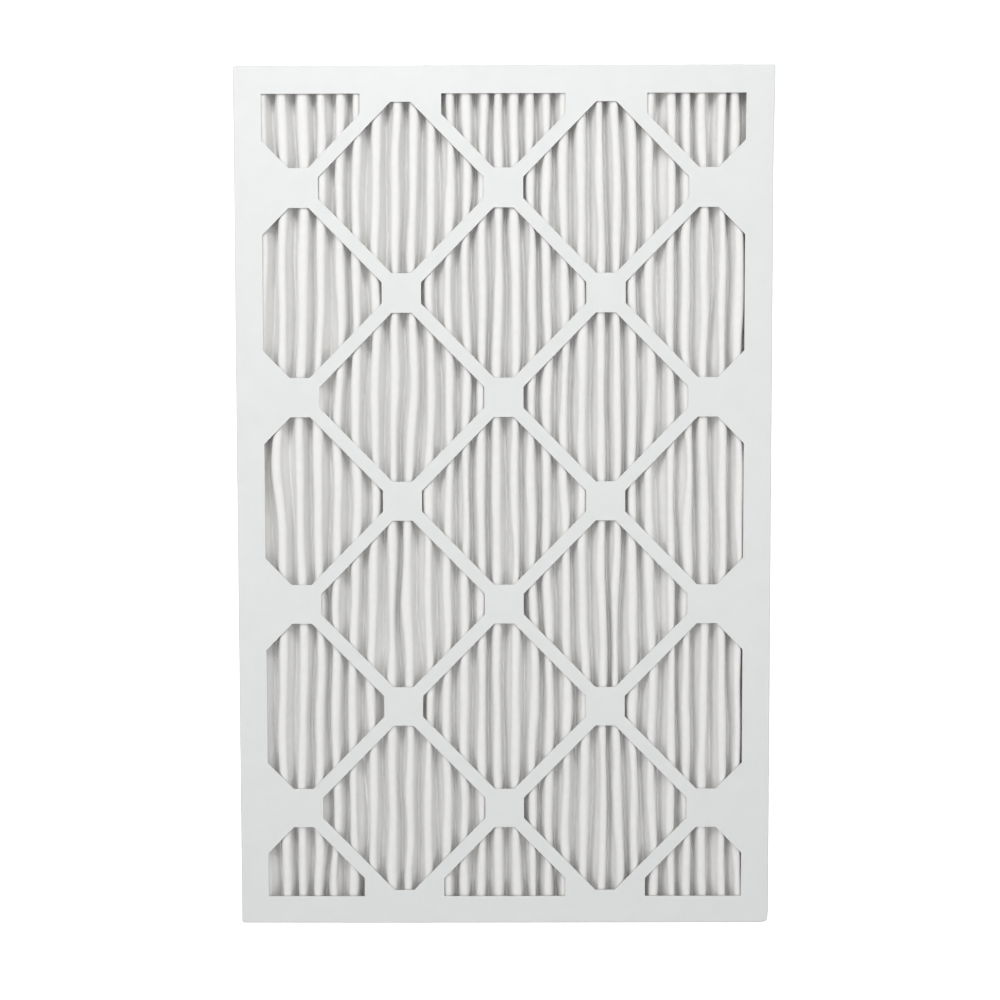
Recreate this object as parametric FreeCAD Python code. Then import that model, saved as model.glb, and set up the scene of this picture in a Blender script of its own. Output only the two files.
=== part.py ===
import FreeCAD, Part

import math
import os

# Pleated panel air filter for a ventilation duct, lying on its rear face.
# Two paperboard trays nest in each other, and the face of each is die-cut into a diamond lattice.
# Between the faces stands one folded sheet of filter media on a wire grid, glued in all round.
# Millimetres: X across the pleats, Y along them, Z up, from the air-leaving to the air-entering side.
# The origin is the middle of the rear face, at the height of the ground.

# Overall size
panel_width = 390.5
panel_length = 628.65
panel_depth = 19.05

# Paperboard of both trays
board = 0.6
fold_middle_radius = 0.7
corner_tab_length = 32.0
corner_relief = 0.8
nest_gap = 0.3

# Die-cut lattice of both faces
border_width = 20.3
pitch_across = 148.2
pitch_along = 151.5
node_size = 28.6
strap_width = 9.7
end_window_width = 89.6
smallest_opening = 20.0

# Filter media
pleat_pitch = 12.7
pleat_half_tip = 2.3
tip_flat_count = 3
media_thickness = 1.0
seat_gap = 0.3
shortest_edge = 0.001

# Wire grid behind the media
grid_thickness = 0.4
grid_strand = 1.4
grid_rows = 3

# Glue that seals the media to the trays
side_bead_width = 2.6
side_bead_height = 5.0
end_bead_thickness = 1.6

# Space left inside the trays
nest_step = board + nest_gap
rear_width = panel_width - 2 * nest_step
rear_length = panel_length - 2 * (nest_step + board)
rear_height = panel_depth - board - nest_gap
room_width = rear_width - 2 * board
room_length = rear_length - 4 * board
pack_width = room_width - 2 * seat_gap
pack_length = room_length - 2 * end_bead_thickness

# Heights of the middle surface of the media, at its valleys and at its ridges
media_low = board + 2 * seat_gap + grid_thickness + media_thickness / 2
media_high = panel_depth - board - seat_gap - media_thickness / 2

# Number of pleats that fit between the side beads
pleat_count = int((pack_width - 2 * side_bead_width) // pleat_pitch)


def minus(a, b):
    """Vector from point b to point a, in the plane of a section."""
    return (a[0] - b[0], a[1] - b[1])


def moved(point, direction, distance):
    """Point shifted by a distance along a direction."""
    return (point[0] + direction[0] * distance, point[1] + direction[1] * distance)


def unit(vector):
    """Vector of the same direction and length one."""
    length = math.hypot(vector[0], vector[1])
    return (vector[0] / length, vector[1] / length)


def left_of(vector):
    """Vector turned a quarter turn to the left."""
    return (-vector[1], vector[0])


def half_turn_tangent(before, after):
    """Tangent of half the angle between two directions."""
    dot = before[0] * after[0] + before[1] * after[1]
    return math.sqrt((1 - dot) / (1 + dot))


def bend_points(corner, before, after, bend_radius, offset, steps):
    """Evenly spaced points of the arc that rounds one corner, on a surface beside the path."""
    turn = math.asin(before[0] * after[1] - before[1] * after[0])
    side = math.copysign(1, turn)
    start = moved(corner, before, -bend_radius * half_turn_tangent(before, after))
    first = left_of(before)
    centre = moved(start, first, side * bend_radius)
    heading = math.atan2(first[1], first[0])
    normals = [heading + turn * step / steps for step in range(steps + 1)]
    reach = offset - side * bend_radius
    return [moved(centre, (math.cos(angle), math.sin(angle)), reach) for angle in normals]


def mitre_point(corner, before, after, offset):
    """Point where the two lines beside a sharp corner meet."""
    first = left_of(before)
    last = left_of(after)
    both = (first[0] + last[0], first[1] + last[1])
    dot = first[0] * last[0] + first[1] * last[1]
    return moved(corner, both, offset / (1 + dot))


def surface_runs(corners, bend_radius, offset, flats):
    """Points of one surface of a folded sheet: pairs for flat stretches, triples for arcs."""
    headings = [unit(minus(b, a)) for a, b in zip(corners, corners[1:])]
    place = moved(corners[0], left_of(headings[0]), offset)
    runs = []
    for corner, before, after in zip(corners[1:-1], headings, headings[1:]):
        if bend_radius == 0:
            bend = [mitre_point(corner, before, after, offset)]
        else:
            bend = bend_points(corner, before, after, bend_radius, offset, flats or 2)
        runs.append([place, bend[0]])
        if flats:
            runs.extend([a, b] for a, b in zip(bend, bend[1:]))
        elif len(bend) > 1:
            runs.append(bend)
        place = bend[-1]
    runs.append([place, moved(corners[-1], left_of(headings[-1]), offset)])
    return runs


def edge_through(points):
    """Straight edge through two points of the section, or arc through three."""
    placed = [FreeCAD.Vector(x, 0, z) for x, z in points]
    if len(placed) == 2:
        return Part.LineSegment(*placed).toShape()
    return Part.Arc(*placed).toShape()


def folded_sheet(corners, bend_radius, thickness, run, flats=0):
    """Sheet of even thickness folded along a path in XZ and centred along Y.

    A bend is an arc, or that many narrow flats where the folds are many.
    """
    upper = surface_runs(corners, bend_radius, thickness / 2, flats)
    lower = surface_runs(corners, bend_radius, -thickness / 2, flats)
    runs = upper + lower
    runs.append([upper[0][0], lower[0][0]])
    runs.append([upper[-1][-1], lower[-1][-1]])
    edges = [edge_through(points) for points in runs if math.dist(points[0], points[-1]) > shortest_edge]
    section = Part.Face(Part.Wire(Part.__sortEdges__(edges)))
    section.translate(FreeCAD.Vector(0, -run / 2, 0))
    return section.extrude(FreeCAD.Vector(0, run, 0))


def centred_box(width, length, low, high, x=0.0, y=0.0):
    """Upright box between two heights, centred on a point of the plan."""
    corner = FreeCAD.Vector(x - width / 2, y - length / 2, low)
    return Part.makeBox(width, length, high - low, corner)


def window_prism(x, y, low, high):
    """One opening of the lattice: the diamond between four straps, cut square at the nodes."""
    steepness = math.hypot(pitch_across, pitch_along)
    inset = strap_width * steepness / 4
    half_x = pitch_across / 2 - 2 * inset / pitch_along
    half_y = pitch_along / 2 - 2 * inset / pitch_across
    points = [(half_x, 0), (0, half_y), (-half_x, 0), (0, -half_y), (half_x, 0)]
    outline = Part.makePolygon([FreeCAD.Vector(x + u, y + v, low) for u, v in points])
    diamond = Part.Face(outline).extrude(FreeCAD.Vector(0, 0, high - low))
    ends_beyond_border = abs(y) > panel_length / 2 - border_width
    width = end_window_width if ends_beyond_border else pitch_across - node_size
    return diamond.common(centred_box(width, pitch_along - node_size, low, high, x, y))


def steps_inside(pitch, panel_side):
    """How many half pitches from the middle still leave a window open inside the border."""
    room = panel_side / 2 - border_width - smallest_opening
    return int((room + (pitch - node_size) / 2) // (pitch / 2))


def lattice_windows(low, high):
    """Every opening of a face, trimmed by the border."""
    columns = steps_inside(pitch_across, panel_width)
    rows = steps_inside(pitch_along, panel_length)
    windows = []
    for column in range(-columns, columns + 1):
        for row in range(-rows, rows + 1):
            if (column + row) % 2 == 0:
                x = column * pitch_across / 2
                y = row * pitch_along / 2
                windows.append(window_prism(x, y, low, high))
    inside = centred_box(panel_width - 2 * border_width, panel_length - 2 * border_width, low, high)
    return [inside.common(window) for window in windows]


def fold_path(width, height):
    """Middle line of a face with a wall standing up at each side."""
    half = (width - board) / 2
    return [(-half, height), (-half, board / 2), (half, board / 2), (half, height)]


def tray(width, length, height):
    """Open tray folded from one sheet, face down: side walls, end walls and glued corner tabs."""
    tray_sides = folded_sheet(fold_path(width, height), fold_middle_radius, board, length - 2 * board)
    flap_width = width - 2 * corner_relief
    tray_ends = folded_sheet(fold_path(length, height), fold_middle_radius, board, flap_width)
    tray_ends.rotate(FreeCAD.Vector(0, 0, 0), FreeCAD.Vector(0, 0, 1), 90)
    folded = tray_sides.fuse(tray_ends)
    tab_x = (width - corner_tab_length) / 2
    tab_y = length / 2 - 1.5 * board
    tab_low = board + fold_middle_radius
    for side in (-1, 1):
        for end in (-1, 1):
            tab = centred_box(corner_tab_length, board, tab_low, height, side * tab_x, end * tab_y)
            folded = folded.fuse(tab)
    return folded.removeSplitter()


def rear_frame():
    """Inner tray, face down, whose walls stop under the front face."""
    return tray(rear_width, rear_length, rear_height).cut(lattice_windows(-board, 2 * board))


def front_frame():
    """Outer tray, turned over onto the inner one, whose walls reach the ground."""
    folded = tray(panel_width, panel_length, panel_depth)
    folded = folded.cut(lattice_windows(-board, 2 * board))
    folded.rotate(FreeCAD.Vector(0, 0, panel_depth / 2), FreeCAD.Vector(0, 1, 0), 180)
    return folded


def pleat_path(low, high, half_ridge, half_valley):
    """Corners of a row of pleats, with a flap at each side that lies on the rear face."""
    foot = pleat_pitch / 2 - half_valley
    corners = [(-pack_width / 2, low)]
    for count in range(pleat_count):
        ridge = (count - (pleat_count - 1) / 2) * pleat_pitch
        corners.append((ridge - foot, low))
        corners.append((ridge - half_ridge, high))
        corners.append((ridge + half_ridge, high))
        corners.append((ridge + foot, low))
    corners.append((pack_width / 2, low))
    return corners


def tip_radius():
    """Middle radius of a fold that takes up the whole tip of a pleat."""
    flank = unit((pleat_pitch / 2 - 2 * pleat_half_tip, media_high - media_low))
    return pleat_half_tip / half_turn_tangent(flank, (1, 0))


def pleated_media():
    """The folded sheet of filter media, ridges up."""
    corners = pleat_path(media_low, media_high, pleat_half_tip, pleat_half_tip)
    return folded_sheet(corners, tip_radius(), media_thickness, pack_length, tip_flat_count)


def grid_windows(sheet_top):
    """Openings of the wire grid, one between two valleys in each row."""
    row_pitch = (pack_length - grid_strand) / grid_rows
    column_width = pleat_pitch - grid_strand
    row_length = row_pitch - grid_strand
    boxes = []
    for column in range(pleat_count):
        x = (column - (pleat_count - 1) / 2) * pleat_pitch
        for row in range(grid_rows):
            y = (row - (grid_rows - 1) / 2) * row_pitch
            boxes.append(centred_box(column_width, row_length, 0, sheet_top, x, y))
    return boxes


def support_grid():
    """Wire grid folded with the media: a strand along each valley and strands over the pleats."""
    tip_room = tip_radius() - media_thickness / 2 - seat_gap
    half_ridge = tip_room / math.sqrt(2) - grid_thickness / 2
    high = media_high - tip_radius() + half_ridge
    half_valley = pleat_half_tip + (media_thickness + grid_thickness) / 2 + seat_gap
    low = board + seat_gap + grid_thickness / 2
    corners = pleat_path(low, high, half_ridge, half_valley)
    sheet = folded_sheet(corners, 0, grid_thickness, pack_length)
    return sheet.cut(grid_windows(panel_depth))


def side_bead(side):
    """Bead of glue along a side wall, on the flap of the media."""
    wall = room_width / 2
    low = media_low + media_thickness / 2
    toe = FreeCAD.Vector(wall - side_bead_width, 0, low)
    corner = FreeCAD.Vector(wall, 0, low)
    top = FreeCAD.Vector(wall, 0, low + side_bead_height)
    hollow = FreeCAD.Vector(wall - side_bead_width * 0.4, 0, low + side_bead_height * 0.4)
    edges = [
        Part.LineSegment(toe, corner).toShape(),
        Part.LineSegment(corner, top).toShape(),
        Part.Arc(top, hollow, toe).toShape(),
    ]
    section = Part.Face(Part.Wire(edges))
    section.translate(FreeCAD.Vector(0, -pack_length / 2, 0))
    bead = section.extrude(FreeCAD.Vector(0, pack_length, 0))
    if side < 0:
        bead = bead.mirror(FreeCAD.Vector(0, 0, 0), FreeCAD.Vector(1, 0, 0))
    return bead


def end_bead(end):
    """Bar of glue between the cut ends of the pleats and an end wall, rounded into the folds."""
    y = end * (pack_length + end_bead_thickness) / 2
    top = media_high + media_thickness / 2
    bar = centred_box(room_width, end_bead_thickness, board, top, 0, y)
    along = [edge for edge in bar.Edges if abs(edge.tangentAt(edge.FirstParameter).y) > 0.9]
    low = [edge for edge in along if edge.CenterOfMass.z < top / 2]
    return bar.makeFillet(fold_middle_radius, low)


nodes = {
    "front_frame": front_frame(),
    "rear_frame": rear_frame(),
    "pleated_media": pleated_media(),
    "support_grid": support_grid(),
    "side_bead_left": side_bead(-1),
    "side_bead_right": side_bead(1),
    "end_bead_near": end_bead(1),
    "end_bead_far": end_bead(-1),
}

os.makedirs("parts", exist_ok=True)
for name, shape in nodes.items():
    shape.exportStep("parts/" + name + ".step")
    print(name, "solids", len(shape.Solids), "valid", shape.isValid(), "volume", round(shape.Volume))
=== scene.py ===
import math

import bpy
import numpy as np
from mathutils import Matrix, Vector
from mathutils.geometry import delaunay_2d_cdt


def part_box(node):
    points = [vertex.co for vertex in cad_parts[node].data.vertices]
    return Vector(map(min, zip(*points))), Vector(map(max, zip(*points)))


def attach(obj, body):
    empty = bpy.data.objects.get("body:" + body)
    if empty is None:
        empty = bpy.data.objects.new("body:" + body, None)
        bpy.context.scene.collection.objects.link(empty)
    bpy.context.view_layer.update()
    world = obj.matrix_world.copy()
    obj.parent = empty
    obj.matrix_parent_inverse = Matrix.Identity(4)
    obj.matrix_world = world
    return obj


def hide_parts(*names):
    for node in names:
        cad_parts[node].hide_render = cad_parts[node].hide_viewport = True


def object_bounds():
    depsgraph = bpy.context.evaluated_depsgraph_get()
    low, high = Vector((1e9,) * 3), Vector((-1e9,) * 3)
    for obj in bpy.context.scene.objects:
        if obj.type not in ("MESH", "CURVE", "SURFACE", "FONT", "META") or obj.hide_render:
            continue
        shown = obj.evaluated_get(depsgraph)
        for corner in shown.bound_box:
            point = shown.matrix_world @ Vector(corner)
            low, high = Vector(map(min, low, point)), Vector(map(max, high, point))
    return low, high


# A pleated panel air filter lying on its rear face, seen from above as in the photograph.
# Metres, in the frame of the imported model: X across the pleats, Y along them, Z up.

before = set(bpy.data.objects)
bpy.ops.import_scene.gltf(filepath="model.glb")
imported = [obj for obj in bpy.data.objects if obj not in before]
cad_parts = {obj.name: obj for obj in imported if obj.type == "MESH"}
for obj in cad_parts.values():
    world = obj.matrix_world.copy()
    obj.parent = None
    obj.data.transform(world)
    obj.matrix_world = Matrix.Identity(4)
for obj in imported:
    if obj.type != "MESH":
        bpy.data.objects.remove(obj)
cad_low, cad_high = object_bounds()
MM = 0.001

# Pleated media: one sheet, whose flat size runs along its middle surface
MEDIA_THICKNESS = 0.9 * MM
MEDIA_ROWS = 88
MEDIA_SEED = 11

# Where the ridges lie across the panel, read off the photograph.
# The border hides the first and the last one, and most of the second.
RIDGES = MM * np.array((
    -187, -175, -162, -148, -135, -121, -108, -94, -80, -67, -54, -40, -28, -16, -4,
    9, 21, 32, 44, 57, 71, 82, 94, 107, 122, 133, 146, 160, 172, 184,
))

# Section of a pleat: its rounded crest and its rounded valley.
# The shares are of the room between a ridge and the valley beside it.
CREST_HALF_WIDTH = 3.6 * MM
CREST_ROUND = 3.6 * MM
CREST_POWER = 0.85
CREST_SHARE = 0.6
CREST_SAG = 0.6 * MM
CREST_STEPS = 4
VALLEY_HALF_WIDTH = 1.3 * MM
VALLEY_ROUND = 2.6 * MM
VALLEY_SHARE = 0.25
VALLEY_STEPS = 3
SIDE_VALLEY = 4.2 * MM

# The pleats lean one way left of the turn and the other way right of it,
# and fan out towards the -Y end
LEAN_LEFT = -0.8 * MM
LEAN_RIGHT = 0.9 * MM
LEAN_TURN = -90 * MM
LEAN_TURN_REACH = 20 * MM
FAN_LEFT = 0.052
FAN_RIGHT = 0.02
FAN_MIDDLE = 80 * MM

# Random unevenness of the pleats: amplitude, wave length across and wave length along.
# That of the width is a share of it.
RIDGE_DRIFT = (0.7 * MM, 45 * MM, 230 * MM)
RIDGE_WOBBLE = (0.3 * MM, 15 * MM, 75 * MM)
LEAN_CHANGE = (0.8 * MM, 14 * MM, 110 * MM)
SAG_CHANGE = (0.2 * MM, 30 * MM, 80 * MM)
WIDTH_CHANGE = (0.11, 14 * MM, 75 * MM)

# Places where a ridge is pushed aside: ridge, place along it, reach, push.
# All in millimetres.
RIDGE_PUSHES = (
    (1, 0, 130, -5.5), (2, 280, 60, 1.5), (2, 30, 40, -4.0), (2, -70, 60, 0.8),
    (2, -280, 80, 4.0), (3, 280, 60, 1.0), (3, -280, 70, 3.0), (4, -280, 60, 2.0),
    (5, 120, 60, 1.5), (7, -110, 60, -1.3), (9, -60, 90, -3.0), (9, -265, 50, -1.4),
    (12, 100, 40, 3.0), (13, 285, 35, 1.6), (13, 110, 40, 2.5), (13, -20, 60, -1.5),
    (14, -20, 80, -3.0), (15, 10, 60, -2.0), (18, 230, 60, -1.4), (18, -40, 40, 3.0),
    (18, -150, 60, 2.0), (19, -130, 40, 2.0), (20, -120, 70, 1.6), (21, 225, 40, 2.5),
    (21, -280, 40, 2.0), (22, 270, 45, -1.7), (22, 245, 40, 3.0), (22, -265, 40, 1.5),
    (23, -270, 40, 2.5), (24, 110, 60, -1.5), (25, 20, 50, 1.8), (26, 265, 40, -2.5),
    (26, 100, 50, 2.5), (26, -250, 60, -1.6), (27, 230, 60, -2.5), (27, 60, 45, 1.2),
    (28, 290, 90, -5.0),
)

# Places where a crest is wider or narrower: ridge, place along it, reach, share of its width
CREST_SWELLS = (
    (3, 240, 60, 0.45), (15, 270, 50, 0.2), (4, 60, 60, 0.2),
    (22, 0, 70, 0.15), (10, -150, 60, -0.15),
)

# Expanded-metal grid folded with the media. The margin keeps strands apart where cells meet,
# as a share of half a cell. The sheet's end is counted in rows and columns of its mesh.
GRID_CELL_ACROSS = 14 * MM
GRID_CELL_ALONG = 30 * MM
STRAND_WIDTH = 0.9 * MM
STRAND_THICKNESS = 0.35 * MM
STRAND_MARGIN = 0.04
STRAND_STEPS = 3
SHEET_END = 1.001

# Paperboard trays, in the sizes of the solids
BOARD = 0.6 * MM
FOLD_RADIUS = 0.7 * MM
FOLD_ARC = FOLD_RADIUS * math.pi / 2
TAB_LENGTH = 32 * MM
CORNER_RELIEF = 0.8 * MM
BORDER = 20.3 * MM
NODE_SIZE = 28.6 * MM
STRAP_WIDTH = 9.7 * MM
END_WINDOW_WIDTH = 89.6 * MM
PITCH_ALONG = 151.5 * MM

# Where the trays differ from the solids: the lattice is a little wider across and off centre,
# as in the photograph, the knife rounds the windows' corners, and the tabs are tapered
PITCH_ACROSS = 148.6 * MM
LATTICE_DROP = 0.6 * MM
KNIFE_RADIUS = 0.45 * MM
TAB_TAPER = 2.5 * MM

# Half pitches from the lattice's middle to its last windows
LATTICE_COLUMNS = 2
LATTICE_ROWS = 4

# Mesh of the flat blank: spacing of its points, and their places along the edge of a tab.
# The slack keeps points that lie on the outline, and the clearance drops those beside a window.
BLANK_STEP = 6 * MM
FOLD_STEP = FOLD_ARC / 4
TAB_SHARES = (0.8, 0.6, 0.4, 0.2, 0.1)
OUTLINE_SLACK = 1.000001
WINDOW_CLEARANCE = 1.03
MERGE_DISTANCE_MM = 0.0001

# Each tray: piece, node, whether its face is up, how uneven its face is, seed
TRAYS = (
    ("front_tray", "front_frame", True, 0.16 * MM, 26),
    ("rear_tray", "rear_frame", False, 0.03 * MM, 21),
)

# Unevenness of the board. The face's waves fade out towards its folds and down the walls.
FACE_WAVE_LENGTHS = (110 * MM, 140 * MM)
SIDE_WALL_BOW = (0.05 * MM, 300 * MM, 260 * MM)
END_WALL_BOW = (0.05 * MM, 220 * MM, 300 * MM)
BOW_SEED = 22
WALL_FADE = 8 * MM
SIDE_POWER = 6
END_POWER = 8
EDGE_BEVEL = 0.12 * MM
EDGE_ANGLE = 60

# Faults of the panel in the photograph: a wall that flares out at the +X and +Y corner,
# and a dent at the +X and -Y corner
FLARE = 1.1 * MM
FLARE_REACH = 45 * MM
CORNER_CRUSH = 0.8 * MM
CRUSH_REACH = 3.2 * MM

# Colours between which each material's noise moves
BOARD_TINTS = ((0.718, 0.730, 0.727), (0.738, 0.750, 0.747))
LINER_TINTS = ((0.34, 0.31, 0.26), (0.44, 0.41, 0.35))
MEDIA_TINTS = ((0.889, 0.886, 0.876), (0.915, 0.912, 0.902))
STEEL_TINTS = ((0.52, 0.53, 0.54), (0.68, 0.69, 0.70))
GLUE_TINTS = ((0.80, 0.77, 0.66), (0.86, 0.84, 0.76))
CUT_EDGE_TINT = (0.52, 0.50, 0.45, 1)
FLOOR_TINT = (0.8, 0.8, 0.8, 1)
WHITE = (1, 1, 1, 1)
TINT_SPREAD = (0.3, 0.7)

# Share of light that passes through the media, and how the noise of fibres and dents is drawn
# out: the smaller the number, the longer it is along that axis
MEDIA_TRANSLUCENCE = 0.04
FIBRE_STRETCH = (1, 0.35, 1)
MEDIA_FIBRE_STRETCH = (1, 0.3, 1)
MEDIA_DENT_STRETCH = (1, 0.35, 0.6)

# Floor: the glow that the camera sees rises with the distance from the panel, in metres
FLOOR_HALF_SIZE = 4.0
GLOW_RAMP = (("From Min", 0.7), ("From Max", 1.5), ("To Min", 0.75), ("To Max", 1.0))

# Lamps: name, place, point aimed at, width, height, power in watts
LAMPS = (
    ("front_light", (0.0, 0.0, 1.6), (0.0, 0.1, 0.0), 0.8, 0.6, 2.0),
    ("left_light", (-0.9, 0.0, 1.1), (0.0, 0.0, 0.0), 0.6, 0.9, 4.9),
    ("right_light", (0.9, 0.0, 1.1), (0.0, 0.0, 0.0), 0.6, 0.9, 4.2),
    ("key_light", (-0.1, 0.75, 0.9), (0.0, 0.13, 0.0), 0.95, 0.5, 7.35),
    ("far_light", (0.0, -0.85, 1.1), (0.0, -0.3, 0.0), 1.3, 0.4, 3.8),
)
WORLD_LIGHT = 0.08

# Camera, fitted to the panel's corners and lattice nodes in the photograph. Angles in degrees.
CAMERA_DISTANCE = 1.2
CAMERA_TILT = 3.318
CAMERA_SIDE = 0.244
CAMERA_ROLL = -0.12
CAMERA_TARGET = Vector((-2.96 * MM, 0.17 * MM, cad_high.z))
SENSOR_MM = 36
FOCAL_PIXELS = 1640.9
PHOTO_PIXELS = 1000

# A random surface: how many waves add up, and the shortest and longest of them as shares of
# the wave length asked for
FIELD_WAVES = 24
FIELD_SPREAD = (0.7, 1.6)


def smooth_field(across, along, amplitude, wave_across, wave_along, seed):
    """Gentle random surface: a sum of plane waves with seeded directions and phases."""
    rng = np.random.default_rng(seed)
    total = np.zeros(np.broadcast(across, along).shape)
    for _ in range(FIELD_WAVES):
        turn = rng.uniform(0, 2 * math.pi)
        length = rng.uniform(*FIELD_SPREAD)
        phase = rng.uniform(0, 2 * math.pi)
        pull_across = math.cos(turn) / (wave_across * length)
        pull_along = math.sin(turn) / (wave_along * length)
        total += np.sin(2 * math.pi * (across * pull_across + along * pull_along) + phase)
    return total * amplitude * math.sqrt(2 / FIELD_WAVES)


def bell(distance, reach):
    """One in the middle, fading to nothing past the reach."""
    return np.exp(-((distance / reach) ** 2))


def unit_rows(vectors):
    """Vectors scaled to length one."""
    return vectors / np.linalg.norm(vectors, axis=-1, keepdims=True)


def add_object(name, points, faces, smooth=True):
    """Mesh object from vertex and face lists."""
    mesh = bpy.data.meshes.new(name)
    mesh.from_pydata([tuple(p) for p in points], [], [tuple(f) for f in faces])
    mesh.validate()
    for polygon in mesh.polygons:
        polygon.use_smooth = smooth
    thing = bpy.data.objects.new(name, mesh)
    bpy.context.scene.collection.objects.link(thing)
    return thing


def grid_faces(rows, columns, start, flip=False):
    """Quads of a grid of vertices stored row by row."""
    row, column = np.meshgrid(np.arange(rows - 1), np.arange(columns - 1), indexing="ij")
    corner = start + (row * columns + column).ravel()
    quads = np.stack((corner, corner + 1, corner + columns + 1, corner + columns), 1)
    return quads[:, ::-1] if flip else quads


def rim_faces(rows, columns, second):
    """Quads that join the rims of two grids with the same layout."""
    first_row = np.arange(columns)
    last_row = first_row + (rows - 1) * columns
    first_column = np.arange(rows) * columns
    last_column = first_column + columns - 1
    rims = ((first_row, True), (last_row, False), (first_column, False), (last_column, True))
    joined = []
    for rim, flip in rims:
        quads = np.stack((rim[:-1], rim[1:], rim[1:] + second, rim[:-1] + second), 1)
        joined.append(quads if flip else quads[:, ::-1])
    return np.concatenate(joined)


def fold_normals(points):
    """Upward normals of a folded sheet, kept square to its folds."""
    along = np.gradient(points, axis=0)
    across = np.gradient(points, axis=1)
    normals = np.cross(across, along)
    normals[..., 1] = 0
    return unit_rows(normals)


def ridge_lines(high, y):
    """Where each ridge runs: a row of places across for every place along the pleats."""
    rows = y[:, None]
    fan = np.where(RIDGES < 0, FAN_LEFT, FAN_RIGHT) * RIDGES * (1 - (RIDGES / high.x) ** 2)
    lines = RIDGES + fan * (FAN_MIDDLE - rows) / high.y
    lines = lines + smooth_field(RIDGES, rows, *RIDGE_DRIFT, MEDIA_SEED)
    lines = lines + smooth_field(RIDGES, rows, *RIDGE_WOBBLE, MEDIA_SEED + 1)
    for ridge, centre, reach, push in RIDGE_PUSHES:
        lines[:, ridge] += push * MM * bell(y - centre * MM, reach * MM)
    return lines


def valley_lines(low, high, y, ridges):
    """Where each valley runs: between its ridges, and aside of the middle by their lean."""
    middle = (ridges[:, 1:] + ridges[:, :-1]) / 2
    between = (RIDGES[1:] + RIDGES[:-1]) / 2
    turned = 1 / (1 + np.exp((LEAN_TURN - between) / LEAN_TURN_REACH))
    lean = LEAN_LEFT + (LEAN_RIGHT - LEAN_LEFT) * turned
    lean = lean + smooth_field(between, y[:, None], *LEAN_CHANGE, MEDIA_SEED + 2)
    first = np.full((len(y), 1), low.x + SIDE_VALLEY)
    last = np.full((len(y), 1), high.x - SIDE_VALLEY)
    return np.hstack((first, middle - lean, last))


def crest_tops(high, y):
    """Height of each crest, a little below the solid's."""
    sag = CREST_SAG + smooth_field(RIDGES, y[:, None], *SAG_CHANGE, MEDIA_SEED + 3)
    return high.z - np.maximum(sag, CREST_SAG / 2)


def crest_halves(y, seed):
    """Half width of each crest, on one of its sides."""
    halves = CREST_HALF_WIDTH * (1 + smooth_field(RIDGES, y[:, None], *WIDTH_CHANGE, seed))
    for ridge, centre, reach, share in CREST_SWELLS:
        halves[:, ridge] *= 1 + share * bell(y - centre * MM, reach * MM)
    return halves


def quarter_turn(steps):
    """Angles from nothing to a quarter turn."""
    return [step / steps * math.pi / 2 for step in range(steps + 1)]


def pleat_flank(side, ridge, valley, half_crest, level, top):
    """Points from a valley up to the crest beside it, as pairs of x and z.

    The side is -1 for the flank on the left of the ridge and 1 for the one on its right.
    """
    room = np.abs(ridge - valley)
    half_valley = np.minimum(VALLEY_HALF_WIDTH, room * VALLEY_SHARE) * -side
    half_crest = np.minimum(half_crest, room * CREST_SHARE) * side
    shoulder = top - CREST_ROUND
    flank = []
    for turn in quarter_turn(VALLEY_STEPS):
        z = level + VALLEY_ROUND * (1 - math.cos(turn))
        flank.append((valley + half_valley * math.sin(turn), z))
    foot_x, foot_z = flank[-1]
    flank.append(((foot_x + ridge + half_crest) / 2, (foot_z + shoulder) / 2))
    for turn in quarter_turn(CREST_STEPS):
        z = shoulder + CREST_ROUND * math.sin(turn) ** CREST_POWER
        flank.append((ridge + half_crest * math.cos(turn) ** CREST_POWER, z))
    return flank


def pleat_surface(low, high, y):
    """Upper surface of the media: one row of points for each place along the pleats."""
    ridges = ridge_lines(high, y)
    valleys = valley_lines(low, high, y, ridges)
    tops = crest_tops(high, y)
    left_halves = crest_halves(y, MEDIA_SEED + 4)
    right_halves = crest_halves(y, MEDIA_SEED + 5)
    level = np.full(len(y), low.z + MEDIA_THICKNESS)
    section = [(np.full(len(y), low.x), level)]
    for i in range(len(RIDGES)):
        ridge, top = ridges[:, i], tops[:, i]
        up = pleat_flank(-1, ridge, valleys[:, i], left_halves[:, i], level, top)
        down = pleat_flank(1, ridge, valleys[:, i + 1], right_halves[:, i], level, top)
        section.extend(up)
        section.extend(down[-2:0:-1])
    section.append((valleys[:, -1], level))
    section.append((np.full(len(y), high.x), level))
    x = np.stack([place[0] for place in section], 1)
    z = np.stack([place[1] for place in section], 1)
    return np.stack((x, np.broadcast_to(y[:, None], x.shape), z), 2)


def crush_at(x, y):
    """How far the dented corner is pushed in at a place."""
    return CORNER_CRUSH * bell(np.hypot(x - cad_high.x, y - cad_low.y), CRUSH_REACH)


def make_media():
    """The pleated sheet: its upper surface, and a lower one a thickness below it."""
    low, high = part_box("pleated_media")
    y = np.linspace(low.y, high.y, MEDIA_ROWS)
    upper = pleat_surface(low, high, y)
    crush = crush_at(upper[..., 0], upper[..., 1])
    upper = upper + np.stack((-crush, crush, np.zeros_like(crush)), 2)
    lower = upper - fold_normals(upper) * MEDIA_THICKNESS
    rows, columns = upper.shape[:2]
    points = np.concatenate((upper.reshape(-1, 3), lower.reshape(-1, 3)))
    faces = np.concatenate((
        grid_faces(rows, columns, 0),
        grid_faces(rows, columns, rows * columns, flip=True),
        rim_faces(rows, columns, rows * columns),
    ))
    return add_object("media_sheet", points, faces), lower


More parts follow.
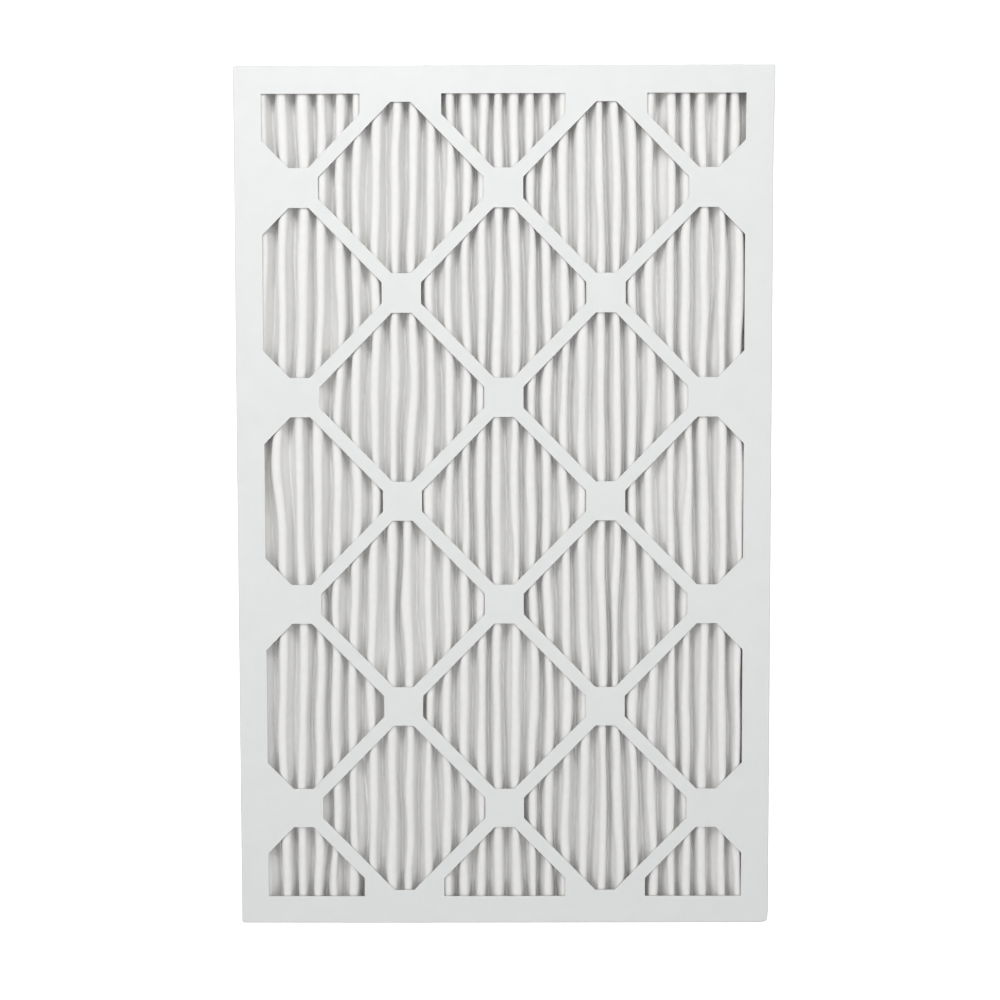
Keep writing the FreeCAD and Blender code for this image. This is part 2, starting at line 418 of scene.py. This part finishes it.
def on_sheet(sheet, row, column):
    """Values of a sheet at fractional rows and columns, just short of its last ones."""
    row = np.clip(row, 0, sheet.shape[0] - SHEET_END)
    column = np.clip(column, 0, sheet.shape[1] - SHEET_END)
    first_row = row.astype(int)
    first_column = column.astype(int)
    u = (row - first_row)[:, None]
    v = (column - first_column)[:, None]
    return (
        sheet[first_row, first_column] * (1 - u) * (1 - v)
        + sheet[first_row + 1, first_column] * u * (1 - v)
        + sheet[first_row, first_column + 1] * (1 - u) * v
        + sheet[first_row + 1, first_column + 1] * u * v
    )


def strand_corners(path, away):
    """Corners of a flat strand, four round each point of its path."""
    ahead = unit_rows(np.gradient(path, axis=0))
    across = unit_rows(np.cross(ahead, away))
    away = unit_rows(np.cross(across, ahead))
    corners = [
        path + across * STRAND_WIDTH / 2 * side + away * STRAND_THICKNESS / 2 * level
        for side, level in ((-1, -1), (1, -1), (1, 1), (-1, 1))
    ]
    return np.stack(corners, 1).reshape(-1, 3)


def strand_faces(count):
    """Quads along the four sides of a strand with this many points, and at its two ends."""
    first = np.arange(count - 1)[:, None] * 4
    faces = []
    for side in range(4):
        near = first + side
        far = first + (side + 1) % 4
        faces.append(np.hstack((near, far, far + 4, near + 4)))
    last = (count - 1) * 4
    faces.append(np.array([[3, 2, 1, 0], [last, last + 1, last + 2, last + 3]]))
    return np.concatenate(faces)


def make_grid(under):
    """Expanded-metal grid: zigzag strands that follow the folds on the back of the media."""
    rows, columns = under.shape[:2]
    normals = fold_normals(under)
    sheet = under - normals * STRAND_THICKNESS / 2
    steps = np.linalg.norm(np.diff(under[rows // 2], axis=0), axis=1)
    run = np.concatenate(([0], np.cumsum(steps)))
    length = under[-1, 0, 1] - under[0, 0, 1]
    half_cells = round(length / (GRID_CELL_ALONG / 2))
    strands = round(run[-1] / (GRID_CELL_ACROSS / 2))
    spacing = run[-1] / strands
    beats = np.arange(half_cells * STRAND_STEPS + 1) / STRAND_STEPS
    row = beats / half_cells * (rows - 1)
    zigzag = np.abs((beats + 1) % 2 - 1)
    one_strand = strand_faces(len(beats))
    points = []
    faces = []
    for strand in range(strands):
        swing = zigzag if strand % 2 == 0 else 1 - zigzag
        reach = (strand + STRAND_MARGIN + (1 - 2 * STRAND_MARGIN) * swing) * spacing
        column = np.interp(reach, run, np.arange(columns))
        faces.append(one_strand + strand * 4 * len(beats))
        points.append(strand_corners(on_sheet(sheet, row, column), on_sheet(normals, row, column)))
    return add_object("expanded_grid", np.concatenate(points), np.concatenate(faces), smooth=False)


def clipped(outline, direction, reach):
    """Part of a convex outline on the near side of a line."""
    kept = []
    for a, b in zip(outline, outline[1:] + outline[:1]):
        over_a = a.dot(direction) - reach
        over_b = b.dot(direction) - reach
        if over_a <= 0:
            kept.append(a)
        if over_a * over_b < 0:
            kept.append(a.lerp(b, over_a / (over_a - over_b)))
    return kept


def inside_box(outline, centre, half_x, half_y):
    """Part of a convex outline inside an upright box."""
    for axis, half in ((Vector((1, 0)), half_x), (Vector((0, 1)), half_y)):
        outline = clipped(outline, axis, centre.dot(axis) + half)
        outline = clipped(outline, -axis, half - centre.dot(axis))
    return outline


def rounded(outline, radius):
    """Outline with its corners rounded as a bent cutting knife leaves them."""
    points = []
    for before, corner, after in zip(outline[-1:] + outline, outline, outline[1:] + outline[:1]):
        start = corner + (before - corner).normalized() * radius
        end = corner + (after - corner).normalized() * radius
        points.extend((start, (start + corner * 2 + end) / 4, end))
    return points


def window_outline(column, row):
    """One window: the diamond between four straps, cut square at the nodes and by the border."""
    steepness = math.hypot(PITCH_ACROSS, PITCH_ALONG)
    half_x = PITCH_ACROSS / 2 - STRAP_WIDTH * steepness / (2 * PITCH_ALONG)
    half_y = PITCH_ALONG / 2 - STRAP_WIDTH * steepness / (2 * PITCH_ACROSS)
    middle = Vector((0, -LATTICE_DROP))
    centre = Vector((column * PITCH_ACROSS / 2, row * PITCH_ALONG / 2)) + middle
    sides = ((half_x, 0), (0, half_y), (-half_x, 0), (0, -half_y))
    outline = [centre + Vector(side) for side in sides]
    at_end = abs(row) == LATTICE_ROWS
    width = END_WINDOW_WIDTH if at_end else PITCH_ACROSS - NODE_SIZE
    outline = inside_box(outline, centre, width / 2, (PITCH_ALONG - NODE_SIZE) / 2)
    outline = inside_box(outline, Vector((0, 0)), cad_high.x - BORDER, cad_high.y - BORDER)
    return rounded(outline, KNIFE_RADIUS)


def lattice_windows():
    """Outlines of the windows, which stand in every other place of the half pitches."""
    windows = []
    for column in range(-LATTICE_COLUMNS, LATTICE_COLUMNS + 1):
        for row in range(-LATTICE_ROWS, LATTICE_ROWS + 1):
            if (column + row) % 2 == 0:
                windows.append(window_outline(column, row))
    return windows


def blank_sizes(low, high):
    """Sizes of the flat blank that folds into a tray as large as a box."""
    flat_x = (high.x - low.x - BOARD) / 2 - FOLD_RADIUS
    flat_y = (high.y - low.y - BOARD) / 2 - FOLD_RADIUS
    wall = high.z - low.z - BOARD / 2 - FOLD_RADIUS
    return {
        "flat_x": flat_x,
        "flat_y": flat_y,
        "side": flat_x + FOLD_ARC + wall,
        "end": flat_y + FOLD_ARC + wall,
        "end_edge": flat_x + FOLD_RADIUS + BOARD / 2 - CORNER_RELIEF,
        "tab_fold": flat_y - BOARD,
        "tab_edge": flat_x + FOLD_ARC + BOARD / 2,
        "tab_end": flat_y - BOARD + TAB_LENGTH,
    }


def spaced(start, end, step):
    """Evenly spaced places between two ends, about a step apart."""
    return np.linspace(start, end, max(round((end - start) / step), 1) + 1)


def both_sides(places):
    """Places and their mirror images."""
    return np.unique(np.concatenate((-places, places)))


def tab_outline(blank):
    """Corner tab of the blank, from the free edge of the side wall back to the root of the tab."""
    bends = blank["tab_fold"] + spaced(0, FOLD_ARC, FOLD_STEP)[::-1]
    bends = [place for place in bends if place > blank["flat_y"]]
    edge, end = blank["tab_edge"], blank["tab_end"]
    run = end - bends[0]
    return [
        (blank["side"], end - TAB_TAPER),
        (blank["side"] - TAB_TAPER, end),
        (edge + TAB_TAPER, end),
        *((edge + TAB_TAPER * share, bends[0] + run * share) for share in TAB_SHARES),
        *((edge, place) for place in bends),
        (edge, blank["flat_y"]),
    ]


def blank_outline(blank):
    """Outline of the blank: side flaps with a tab at each end, and end flaps."""
    bends = blank["flat_y"] + spaced(0, FOLD_ARC, FOLD_STEP)
    quarter = [
        *tab_outline(blank),
        *((blank["end_edge"], place) for place in bends),
        (blank["end_edge"] - CORNER_RELIEF, blank["end"]),
    ]
    half = quarter + [(-x, y) for x, y in reversed(quarter)]
    return [Vector(point) for point in half + [(-x, -y) for x, y in half]]


def past_fold(fold, end):
    """Places from the start of a fold to the edge beyond it, close together in the bend."""
    bend = fold + spaced(0, FOLD_ARC, FOLD_STEP)
    wall = spaced(fold + FOLD_ARC, end, BLANK_STEP)[1:]
    return np.concatenate((bend, wall))


def blank_points(blank):
    """Points spread over the blank in lines along its folds."""
    flat_x = spaced(0, blank["flat_x"], BLANK_STEP)
    flat_y = spaced(0, blank["tab_fold"], BLANK_STEP)
    side_x = past_fold(blank["flat_x"], blank["side"])[1:]
    ends_y = np.concatenate((flat_y, past_fold(blank["flat_y"], blank["end"])))
    tabs_y = np.concatenate((flat_y, past_fold(blank["tab_fold"], blank["tab_end"])[1:]))
    points = []
    for across, along in ((flat_x, ends_y), (side_x, tabs_y)):
        spread = np.meshgrid(both_sides(across), both_sides(along))
        points.append(np.stack(spread, 2).reshape(-1, 2))
    return np.concatenate(points)


def within(points, outline):
    """Which points lie inside a closed outline."""
    found = np.zeros(len(points), bool)
    x, y = points.T
    for a, b in zip(outline, outline[1:] + outline[:1]):
        crosses = (a.y > y) != (b.y > y)
        rise = b.y - a.y
        if rise:
            found ^= crosses & (x < a.x + (y - a.y) * (b.x - a.x) / rise)
    return found


def cut_blank(blank, windows):
    """Triangles of the die-cut blank, and their corners on the flat."""
    outline = blank_outline(blank)
    points = blank_points(blank)
    kept = within(points, [corner * OUTLINE_SLACK for corner in outline])
    for window in windows:
        centre = sum(window, Vector((0, 0))) / len(window)
        grown = [centre + (corner - centre) * WINDOW_CLEARANCE for corner in window]
        kept &= ~within(points, grown)
    corners = [Vector(point) for point in points[kept]]
    edges = []
    for loop in (outline, *windows):
        start = len(corners)
        corners.extend(loop)
        edges.extend((start + i, start + (i + 1) % len(loop)) for i in range(len(loop)))
    per_metre = 1 / MM
    in_mm = [corner * per_metre for corner in corners]
    made = delaunay_2d_cdt(in_mm, edges, [], 0, MERGE_DISTANCE_MM)
    flat = np.array([corner[:] for corner in made[0]]) / per_metre
    triangles = np.array([face[:] for face in made[2]])
    middles = flat[triangles].mean(axis=1)
    kept = within(middles, outline)
    for window in windows:
        kept &= ~within(middles, window)
    return flat, triangles[kept]


def fold_over(distance, start):
    """Where a distance across the blank ends up: how far out, and how far down past the fold."""
    turn = np.clip((distance - start) / FOLD_RADIUS, 0, math.pi / 2)
    beyond = np.maximum(distance - start - FOLD_ARC, 0)
    out = np.minimum(distance, start) + FOLD_RADIUS * np.sin(turn)
    return out, FOLD_RADIUS * (1 - np.cos(turn)) + beyond


def folded(flat, blank):
    """Points of the blank after folding, with the middle of the face at height zero."""
    across, along = np.abs(flat).T
    x, side_drop = fold_over(across, blank["flat_x"])
    end_y, end_drop = fold_over(along, blank["flat_y"])
    tab_y, tab_in = fold_over(along, blank["tab_fold"])
    on_side = across > blank["flat_x"]
    share = np.clip(side_drop / FOLD_RADIUS, 0, 1)
    x = x - np.where(on_side, tab_in * share, 0)
    y = np.where(on_side, end_y + (tab_y - end_y) * share, end_y)
    drop = side_drop + np.where(on_side, end_drop * (1 - share), end_drop)
    return np.stack((x * np.sign(flat[:, 0]), y * np.sign(flat[:, 1]), -drop), 1)


def settled(points, wave, seed):
    """Folded board as it really stands: slightly uneven, with the panel's flare and dent."""
    x, y, z = points.T
    near_side = (np.abs(x) / cad_high.x) ** SIDE_POWER
    near_end = (np.abs(y) / cad_high.y) ** END_POWER
    on_face = np.clip(1 + z / WALL_FADE, 0, 1)
    on_face = on_face * np.clip(1 - near_side, 0, 1) * np.clip(1 - near_end, 0, 1)
    lift = smooth_field(x, y, wave, *FACE_WAVE_LENGTHS, seed) * on_face
    bow_x = smooth_field(x, y, *SIDE_WALL_BOW, BOW_SEED) * near_side
    bow_y = smooth_field(x, y, *END_WALL_BOW, BOW_SEED + 1) * near_end
    flare = FLARE * bell(cad_high.y - y, FLARE_REACH) * near_side * (x > 0)
    crush = crush_at(x, y)
    return points + np.stack((bow_x + flare - crush, bow_y + crush, lift), 1)


def vertex_normals(points, triangles):
    """Normals of a triangle mesh at its corners."""
    a, b, c = (points[triangles[:, i]] for i in range(3))
    normals = np.cross(b - a, c - a)
    total = np.zeros_like(points)
    for i in range(3):
        np.add.at(total, triangles[:, i], normals)
    return unit_rows(total)


def rim_of(triangles):
    """Edges that only one triangle has, in its own direction."""
    edges = np.concatenate([triangles[:, (i, (i + 1) % 3)] for i in range(3)])
    found = {tuple(edge) for edge in edges}
    return np.array([edge for edge in found if edge[::-1] not in found])


def add_board(name, points, triangles):
    """Board as thick as it is, from its middle surface: outside, inside and cut edges."""
    normals = vertex_normals(points, triangles)
    outer = points + normals * BOARD / 2
    inner = points - normals * BOARD / 2
    count = len(points)
    rim = rim_of(triangles)
    quads = np.stack((rim[:, 1], rim[:, 0], rim[:, 0] + count, rim[:, 1] + count), 1)
    faces = [*triangles, *(triangles[:, ::-1] + count), *quads]
    tray = add_object(name, np.concatenate((outer, inner)), faces)
    layers = np.repeat((0, 1, 2), (len(triangles), len(triangles), len(quads)))
    tray.data.polygons.foreach_set("material_index", layers)
    return tray


def crush_edges(tray):
    """Cut edges pressed a little round by the die."""
    bevel = tray.modifiers.new("crushed_edges", "BEVEL")
    bevel.width = EDGE_BEVEL
    bevel.segments = 1
    bevel.limit_method = "ANGLE"
    bevel.angle_limit = math.radians(EDGE_ANGLE)
    tray.modifiers.new("even_shading", "WEIGHTED_NORMAL")


def make_tray(name, node_name, face_up, wave, seed):
    """Paperboard tray folded from a die-cut blank, with a liner inside and cut edges."""
    low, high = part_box(node_name)
    blank = blank_sizes(low, high)
    flat, triangles = cut_blank(blank, lattice_windows())
    points = settled(folded(flat, blank), wave, seed)
    if face_up:
        points[:, 2] += high.z - BOARD / 2
    else:
        points[:, 2] = low.z + BOARD / 2 + points[:, 2].max() - points[:, 2]
        triangles = triangles[:, ::-1]
    tray = add_board(name, points, triangles)
    crush_edges(tray)
    return tray


def new_material(name):
    """Node material, its tree and its Principled shader."""
    material = bpy.data.materials.new(name)
    material.use_nodes = True
    tree = material.node_tree
    return material, tree, tree.nodes["Principled BSDF"]


def node(tree, kind, **values):
    """Node with some of its properties and input values set."""
    made = tree.nodes.new(kind)
    for key, value in values.items():
        if hasattr(made, key):
            setattr(made, key, value)
        else:
            made.inputs[key.replace("_", " ")].default_value = value
    return made


def noise(tree, scale, detail=4.0, stretch=(1, 1, 1)):
    """Object-space noise, stretched along the axes."""
    place = node(tree, "ShaderNodeTexCoord")
    mapping = node(tree, "ShaderNodeMapping")
    mapping.inputs["Scale"].default_value = stretch
    tree.links.new(place.outputs["Object"], mapping.inputs["Vector"])
    made = node(tree, "ShaderNodeTexNoise", Scale=scale, Detail=detail)
    tree.links.new(mapping.outputs["Vector"], made.inputs["Vector"])
    return made.outputs["Fac"]


def tinted(tree, shader, factor, tints):
    """Colour between two tints, following a factor, as the shader's base colour."""
    ramp = node(tree, "ShaderNodeValToRGB")
    for element, position, tint in zip(ramp.color_ramp.elements, TINT_SPREAD, tints):
        element.position = position
        element.color = (*tint, 1)
    tree.links.new(factor, ramp.inputs["Fac"])
    tree.links.new(ramp.outputs["Color"], shader.inputs["Base Color"])
    return ramp.outputs["Color"]


def bumped(tree, shader, layers):
    """Chains bump layers given as (height, strength, distance) into a shader."""
    normal = None
    for height, strength, distance in layers:
        bump = node(tree, "ShaderNodeBump", Strength=strength, Distance=distance)
        tree.links.new(height, bump.inputs["Height"])
        if normal:
            tree.links.new(normal, bump.inputs["Normal"])
        normal = bump.outputs["Normal"]
    tree.links.new(normal, shader.inputs["Normal"])
    return normal


def board_material():
    """White clay-coated paperboard: faint mottling and fibre relief, nearly matte."""
    material, tree, shader = new_material("white_paperboard")
    tinted(tree, shader, noise(tree, 60), BOARD_TINTS)
    shader.inputs["Roughness"].default_value = 0.5
    shader.inputs["Specular IOR Level"].default_value = 0.62
    fibre = noise(tree, 900, 3, FIBRE_STRETCH)
    sag = noise(tree, 25, 2)
    bumped(tree, shader, [(sag, 0.25, 0.004), (fibre, 0.15, 0.0004)])
    return material


def liner_material():
    """Inner side of the board: grey-brown recycled fibre."""
    material, tree, shader = new_material("recycled_liner")
    tinted(tree, shader, noise(tree, 350, 6), LINER_TINTS)
    shader.inputs["Roughness"].default_value = 0.9
    fibre = noise(tree, 900, 3, FIBRE_STRETCH)
    bumped(tree, shader, [(fibre, 0.3, 0.0005)])
    return material


def edge_material():
    """Cut edge of the board: pale grey fibre."""
    material, tree, shader = new_material("board_cut_edge")
    shader.inputs["Base Color"].default_value = CUT_EDGE_TINT
    shader.inputs["Roughness"].default_value = 0.9
    return material


def media_material():
    """Soft white nonwoven: fibrous and matte, and a little light passes through it."""
    material, tree, shader = new_material("white_nonwoven")
    colour = tinted(tree, shader, noise(tree, 180, 5), MEDIA_TINTS)
    shader.inputs["Roughness"].default_value = 0.95
    shader.inputs["Specular IOR Level"].default_value = 0.15
    shader.inputs["Sheen Weight"].default_value = 0.15
    fibre = noise(tree, 1500, 4, MEDIA_FIBRE_STRETCH)
    dents = noise(tree, 120, 3, MEDIA_DENT_STRETCH)
    normal = bumped(tree, shader, [(dents, 0.5, 0.0015), (fibre, 0.35, 0.0004)])
    through = node(tree, "ShaderNodeBsdfTranslucent")
    tree.links.new(colour, through.inputs["Color"])
    tree.links.new(normal, through.inputs["Normal"])
    mix = node(tree, "ShaderNodeMixShader", Fac=MEDIA_TRANSLUCENCE)
    tree.links.new(shader.outputs["BSDF"], mix.inputs[1])
    tree.links.new(through.outputs["BSDF"], mix.inputs[2])
    tree.links.new(mix.outputs["Shader"], tree.nodes["Material Output"].inputs["Surface"])
    return material


def steel_material():
    """Galvanised steel strand."""
    material, tree, shader = new_material("galvanised_strand")
    tinted(tree, shader, noise(tree, 400), STEEL_TINTS)
    shader.inputs["Metallic"].default_value = 1.0
    shader.inputs["Roughness"].default_value = 0.38
    return material


def glue_material():
    """Cured hot-melt glue: cream, smooth and slightly lumpy."""
    material, tree, shader = new_material("hot_melt_glue")
    tinted(tree, shader, noise(tree, 150), GLUE_TINTS)
    shader.inputs["Roughness"].default_value = 0.35
    bumped(tree, shader, [(noise(tree, 220, 2), 0.5, 0.001)])
    return material


def give(thing, *materials):
    """Puts materials on an object, keeping which faces have which."""
    for slot, material in enumerate(materials):
        if slot < len(thing.data.materials):
            thing.data.materials[slot] = material
        else:
            thing.data.materials.append(material)


def seen_rays(tree):
    """One for the rays that show a surface: straight to the camera, mirrored or through glass."""
    rays = node(tree, "ShaderNodeLightPath")
    seen = rays.outputs["Is Camera Ray"]
    for kind in ("Is Glossy Ray", "Is Transmission Ray"):
        either = node(tree, "ShaderNodeMath", operation="MAXIMUM")
        tree.links.new(seen, either.inputs[0])
        tree.links.new(rays.outputs[kind], either.inputs[1])
        seen = either.outputs[0]
    return seen


def floor_glow(tree):
    """Glow of the floor in the rays that show it, rising with the distance from the panel."""
    place = node(tree, "ShaderNodeTexCoord")
    away = node(tree, "ShaderNodeVectorMath", operation="LENGTH")
    tree.links.new(place.outputs["Object"], away.inputs[0])
    fade = node(tree, "ShaderNodeMapRange")
    for name, value in GLOW_RAMP:
        fade.inputs[name].default_value = value
    tree.links.new(away.outputs["Value"], fade.inputs["Value"])
    glow = node(tree, "ShaderNodeMath", operation="MULTIPLY")
    tree.links.new(seen_rays(tree), glow.inputs[0])
    tree.links.new(fade.outputs["Result"], glow.inputs[1])
    return glow.outputs[0]


def make_floor():
    """Pale floor that looks white to the camera and keeps the panel's shadow."""
    size = FLOOR_HALF_SIZE
    points = [(-size, -size, 0), (size, -size, 0), (size, size, 0), (-size, size, 0)]
    floor = add_object("floor", points, [(0, 1, 2, 3)])
    material, tree, shader = new_material("pale_floor")
    shader.inputs["Base Color"].default_value = FLOOR_TINT
    shader.inputs["Roughness"].default_value = 0.9
    shader.inputs["Specular IOR Level"].default_value = 0.1
    shader.inputs["Emission Color"].default_value = WHITE
    tree.links.new(floor_glow(tree), shader.inputs["Emission Strength"])
    floor.data.materials.append(material)


def make_world():
    """Soft even light from all round, white where the camera sees it."""
    world = bpy.data.worlds.new("studio")
    bpy.context.scene.world = world
    world.use_nodes = True
    tree = world.node_tree
    lit = tree.nodes["Background"]
    lit.inputs["Color"].default_value = WHITE
    lit.inputs["Strength"].default_value = WORLD_LIGHT
    white = node(tree, "ShaderNodeBackground")
    white.inputs["Color"].default_value = WHITE
    mix = node(tree, "ShaderNodeMixShader")
    tree.links.new(seen_rays(tree), mix.inputs["Fac"])
    tree.links.new(lit.outputs["Background"], mix.inputs[1])
    tree.links.new(white.outputs["Background"], mix.inputs[2])
    tree.links.new(mix.outputs["Shader"], tree.nodes["World Output"].inputs["Surface"])


def add_softbox(name, place, aim, width, height, power):
    """Rectangular lamp at a place, facing a point."""
    lamp = bpy.data.lights.new(name, "AREA")
    lamp.shape = "RECTANGLE"
    lamp.size = width
    lamp.size_y = height
    lamp.energy = power
    thing = bpy.data.objects.new(name, lamp)
    thing.location = place
    thing.rotation_euler = (Vector(aim) - Vector(place)).to_track_quat("-Z", "Y").to_euler()
    bpy.context.scene.collection.objects.link(thing)


def make_camera():
    """Camera nearly overhead, a little towards the panel's +Y end, as in the photograph."""
    tilt = math.radians(CAMERA_TILT)
    side = math.radians(CAMERA_SIDE)
    level = math.cos(side)
    back = Vector((math.sin(side), math.sin(tilt) * level, math.cos(tilt) * level))
    right = (-back).cross(Vector((0, 1, 0))).normalized()
    up = right.cross(-back)
    turn = Matrix((right, up, back)).transposed().to_4x4()
    roll = Matrix.Rotation(math.radians(CAMERA_ROLL), 4, "Z")
    place = Matrix.Translation(CAMERA_TARGET + back * CAMERA_DISTANCE)
    data = bpy.data.cameras.new("camera")
    data.sensor_width = SENSOR_MM
    data.lens = SENSOR_MM * FOCAL_PIXELS / PHOTO_PIXELS
    camera = bpy.data.objects.new("camera", data)
    camera.matrix_world = place @ turn @ roll
    bpy.context.scene.collection.objects.link(camera)
    bpy.context.scene.camera = camera


# Studio
make_camera()
make_world()
for lamp in LAMPS:
    add_softbox(*lamp)
make_floor()

# Pleated media
media, media_under = make_media()
give(media, media_material())
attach(media, "root")
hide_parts("pleated_media")

# Support grid
grid = make_grid(media_under)
give(grid, steel_material())
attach(grid, "root")
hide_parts("support_grid")

# Trays
board = (board_material(), liner_material(), edge_material())
for name, node_name, face_up, wave, seed in TRAYS:
    tray = make_tray(name, node_name, face_up, wave, seed)
    give(tray, *board)
    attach(tray, "root")
    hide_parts(node_name)

# Glue beads, which stay the solids
glue = glue_material()
for name in ("side_bead_left", "side_bead_right", "end_bead_near", "end_bead_far"):
    give(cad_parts[name], glue)

bpy.context.scene.view_settings.view_transform = "Standard"
